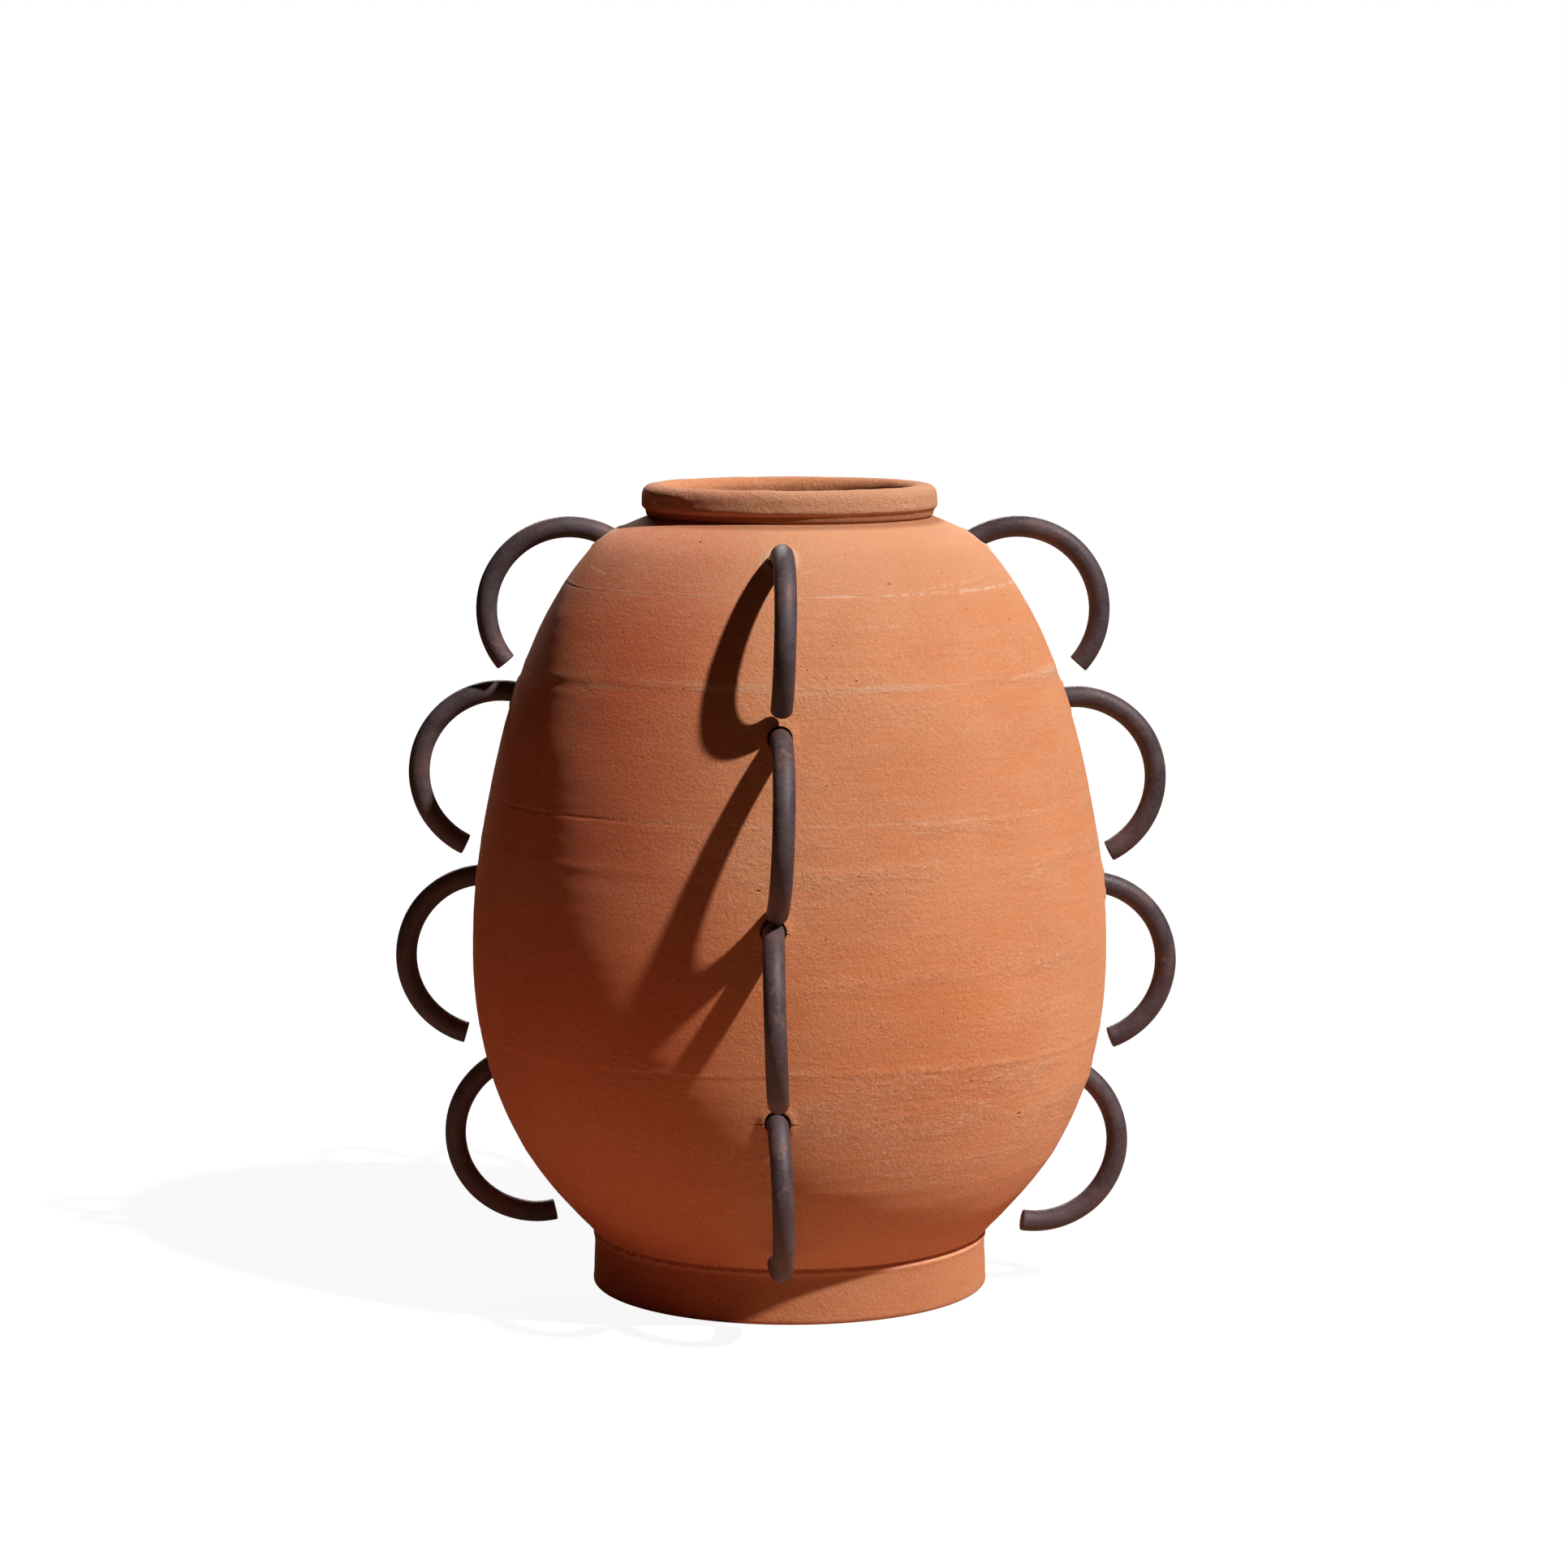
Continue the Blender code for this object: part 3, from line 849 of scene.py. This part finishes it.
    # relief, strongest where it is salty and on the rim
    calm = tree.step(z, 0.335, 0.372, 1.0, 0.55)
    worn = tree.math("MULTIPLY", tree.math("ADD", salty, 0.7), calm)
    worn = tree.math("ADD", worn, tree.step(z, 0.3845, 0.3865, 0.0, 0.9))
    normal = tree.bump(tree.math("MULTIPLY", cells, worn), 0.0005)
    normal = tree.bump(tree.math("MULTIPLY", grit_relief, worn), 0.0006, normal)
    normal = tree.bump(tree.math("MULTIPLY", fine_streaks, calm), 0.00010, normal)
    normal = tree.bump(sand, 0.00055, normal)
    normal = tree.bump(tree.math("MULTIPLY", speck, -1.0), 0.0003, normal)
    tree.set(
        Base_Color=colour,
        Roughness=0.88,
        Normal=normal,
        Metallic=0.0,
        Specular_IOR_Level=0.15,
        Diffuse_Roughness=0.5,
        Sheen_Weight=0.04,
        Sheen_Roughness=0.5,
        Sheen_Tint=rgba(1.0, 0.86, 0.74),
    )
    return tree.material


def iron_material():
    tree = Tree("iron")
    scale = tree.noise(0.0120, 5, 0.62)
    fine = tree.noise(0.0013, 4, 0.7)
    broad = tree.noise(0.0300, 2, 0.5)
    colour = tree.mix(tree.step(scale, 0.34, 0.66), IRON_DARK, IRON_LIGHT)
    colour = tree.mix(tree.step(fine, 0.54, 0.72, 0.0, 0.50), colour, IRON_FLECK)
    colour = tree.mix(tree.step(fine, 0.30, 0.44, 0.45, 0.0), colour, IRON_PIT)
    reddish = tree.step(tree.noise(0.026, 4, 0.6), 0.50, 0.70, 0.0, 0.55)
    colour = tree.mix(reddish, colour, IRON_REDDISH)
    rust = tree.step(tree.noise(0.0050, 5, 0.7), 0.56, 0.65)
    rust = tree.math("MULTIPLY", rust, tree.step(broad, 0.50, 0.60))
    colour = tree.mix(tree.math("MULTIPLY", rust, 0.55), colour, IRON_RUST)
    rusty = tree.math("MAXIMUM", rust, reddish)
    rough = tree.step(scale, 0.30, 0.70, 0.44, 0.62)
    rough = tree.math("ADD", rough, tree.step(fine, 0.35, 0.65, -0.06, 0.08))
    rough = tree.math("MAXIMUM", rough, tree.math("MULTIPLY", rusty, 0.82))
    metal = tree.step(rusty, 0.0, 0.8, 0.12, 0.0)
    normal = tree.bump(scale, 0.00025)
    normal = tree.bump(fine, 0.00022, normal)
    tree.set(Base_Color=colour, Roughness=rough, Normal=normal, Metallic=metal, Specular_IOR_Level=0.34)
    return tree.material


def mortar_material():
    tree = Tree("mortar")
    lumps = tree.noise(0.004, 5, 0.65)
    fine = tree.noise(0.0009, 3, 0.6)
    colour = tree.mix(tree.step(lumps, 0.36, 0.64), MORTAR_DARK, MORTAR_LIGHT)
    colour = tree.mix(tree.step(fine, 0.52, 0.70, 0.0, 0.5), colour, MORTAR_GRAIN)
    normal = tree.bump(lumps, 0.0016)
    normal = tree.bump(fine, 0.0004, normal)
    tree.set(Base_Color=colour, Roughness=0.93, Normal=normal, Metallic=0.0)
    return tree.material


# ---- the scene ----


def drill(jar, rings):
    """Cuts the holes, the pits and the cracks out of the jar's mesh."""
    cutters = bmesh.new()
    for (_, row), ring in rings.items():
        add_drill(cutters, ring, row)
    for i, (bearing, height, radius) in enumerate(PITS):
        add_pit(cutters, bearing, height, radius, i)
    for column, row, side, length, drop in CRACKS:
        ring = rings[column, row]
        add_crack(cutters, ring.at(ring.crossing(0)), side, length, drop, HOLES[row - 1][0])
    cutter = bpy.data.objects.new("cutters", finish_mesh(cutters, "cutters"))
    bpy.context.scene.collection.objects.link(cutter)
    boolean = jar.modifiers.new("holes", "BOOLEAN")
    boolean.operation = "DIFFERENCE"
    boolean.solver = "EXACT"
    boolean.use_self = True
    boolean.object = cutter
    drilled = bpy.data.meshes.new_from_object(jar.evaluated_get(bpy.context.evaluated_depsgraph_get()))
    jar.modifiers.clear()
    jar.data = drilled
    bpy.data.objects.remove(cutter)
    drilled.shade_smooth()
    drilled.set_sharp_from_angle(angle=math.radians(JAR_CREASE))


def build_object():
    """The jar with its holes, a rod in each, and the mortar on the CAD's own beddings."""
    rings = {}
    for name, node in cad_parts.items():
        if name.startswith("hook_"):
            _, column, row = name.split("_")
            rings[column, int(row)] = Ring(node)
    mouths = []
    for (_, row), ring in rings.items():
        radius, outside = HOLES[row - 1]
        angle = ring.crossing(0)
        mouths.append((ring.at(angle, RING_RADIUS + outside), ring.along(angle), radius))
    clay = clay_material([mouth[0] for mouth, (_, row) in zip(mouths, rings) if row == 1])
    iron, mortar = iron_material(), mortar_material()

    jar = add_piece("jar", jar_mesh(mouths), clay, "terracotta", "pot_body")
    drill(jar, rings)
    for i, ((column, row), ring) in enumerate(sorted(rings.items())):
        name = f"rod_{column}_{row}"
        add_piece(name, hook_mesh(name, ring, i), iron, "iron", f"hook_{column}_{row}")
        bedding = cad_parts[f"bedding_{column}_{row}"]
        bedding.data.materials.clear()
        bedding.data.materials.append(mortar)


def add_disc(name, height, reach, colour, glow):
    """A round matt floor. The one that glows shows; the other only throws light up at the jar."""
    bm = bmesh.new()
    bmesh.ops.create_circle(bm, cap_ends=True, segments=96, radius=reach)
    mesh = bpy.data.meshes.new(name)
    bm.to_mesh(mesh)
    bm.free()
    disc = bpy.data.objects.new(name, mesh)
    disc.location.z = height
    bpy.context.scene.collection.objects.link(disc)
    matt = bpy.data.materials.new(name)
    matt.use_nodes = True
    matt.cycles.emission_sampling = "NONE"
    shader = matt.node_tree.nodes["Principled BSDF"]
    shader.inputs["Base Color"].default_value = rgba(*colour)
    shader.inputs["Roughness"].default_value = 1.0
    shader.inputs["Specular IOR Level"].default_value = 0.0
    shader.inputs["Emission Color"].default_value = rgba(1, 1, 1)
    shader.inputs["Emission Strength"].default_value = glow
    mesh.materials.append(matt)
    return disc


def add_sun(name, strength, spread, colour, bearing, rise):
    """A sun in the direction of this bearing and rise, in degrees."""
    light = bpy.data.lights.new(name, "SUN")
    light.energy = strength
    light.angle = math.radians(spread)
    light.color = colour
    lamp = bpy.data.objects.new(name, light)
    bearing, rise = math.radians(bearing), math.radians(rise)
    level = math.cos(rise)
    away = Vector((math.sin(bearing) * level, -math.cos(bearing) * level, math.sin(rise)))
    lamp.location = away * 2
    lamp.rotation_euler = away.to_track_quat("Z", "Y").to_euler()
    bpy.context.scene.collection.objects.link(lamp)


def build_stage():
    """The floor, the light and the room. The floor only shows to the camera and catches shadows."""
    floor = add_disc("floor", 0, FLOOR_REACH, FLOOR_COLOUR, FLOOR_GLOW)
    floor.visible_diffuse = floor.visible_glossy = floor.visible_shadow = False
    bounce = add_disc("bounce", -BOUNCE_DEPTH, BOUNCE_REACH, BOUNCE_COLOUR, 0)
    bounce.visible_camera = False
    add_sun("key", KEY_STRENGTH, KEY_SPREAD, KEY_COLOUR, KEY_BEARING, KEY_RISE)
    add_sun("back", BACK_STRENGTH, BACK_SPREAD, KEY_COLOUR, BACK_BEARING, BACK_RISE)

    # the room fills the shadows softly, and the backdrop behind it is white
    world = bpy.data.worlds.new("room")
    world.use_nodes = True
    nodes, links = world.node_tree.nodes, world.node_tree.links
    room = nodes["Background"]
    room.inputs[0].default_value = rgba(*ROOM_COLOUR)
    room.inputs[1].default_value = ROOM_STRENGTH
    backdrop = nodes.new("ShaderNodeBackground")
    backdrop.inputs[0].default_value = rgba(*BACKDROP_COLOUR)
    backdrop.inputs[1].default_value = 1.0
    chosen = nodes.new("ShaderNodeMixShader")
    links.new(nodes.new("ShaderNodeLightPath").outputs["Is Camera Ray"], chosen.inputs[0])
    links.new(room.outputs[0], chosen.inputs[1])
    links.new(backdrop.outputs[0], chosen.inputs[2])
    links.new(chosen.outputs[0], nodes["World Output"].inputs[0])
    bpy.context.scene.world = world


def build_camera():
    data = bpy.data.cameras.new("camera")
    data.sensor_width = SENSOR_WIDTH
    data.lens = SENSOR_WIDTH / 2 / math.tan(math.radians(CAMERA_VIEW) / 2)
    camera = bpy.data.objects.new("camera", data)
    bearing = math.radians(CAMERA_BEARING)
    back = Vector((math.sin(bearing), -math.cos(bearing), 0))
    right = Vector((math.cos(bearing), math.sin(bearing), 0))
    camera.location = back * CAMERA_DISTANCE + right * CAMERA_SIDESTEP + Vector((0, 0, CAMERA_HEIGHT))
    camera.rotation_euler = math.radians(90 - CAMERA_PITCH), 0, bearing
    bpy.context.scene.collection.objects.link(camera)
    bpy.context.scene.camera = camera


build_camera()
build_object()
build_stage()
bpy.context.scene.view_settings.view_transform = "Standard"
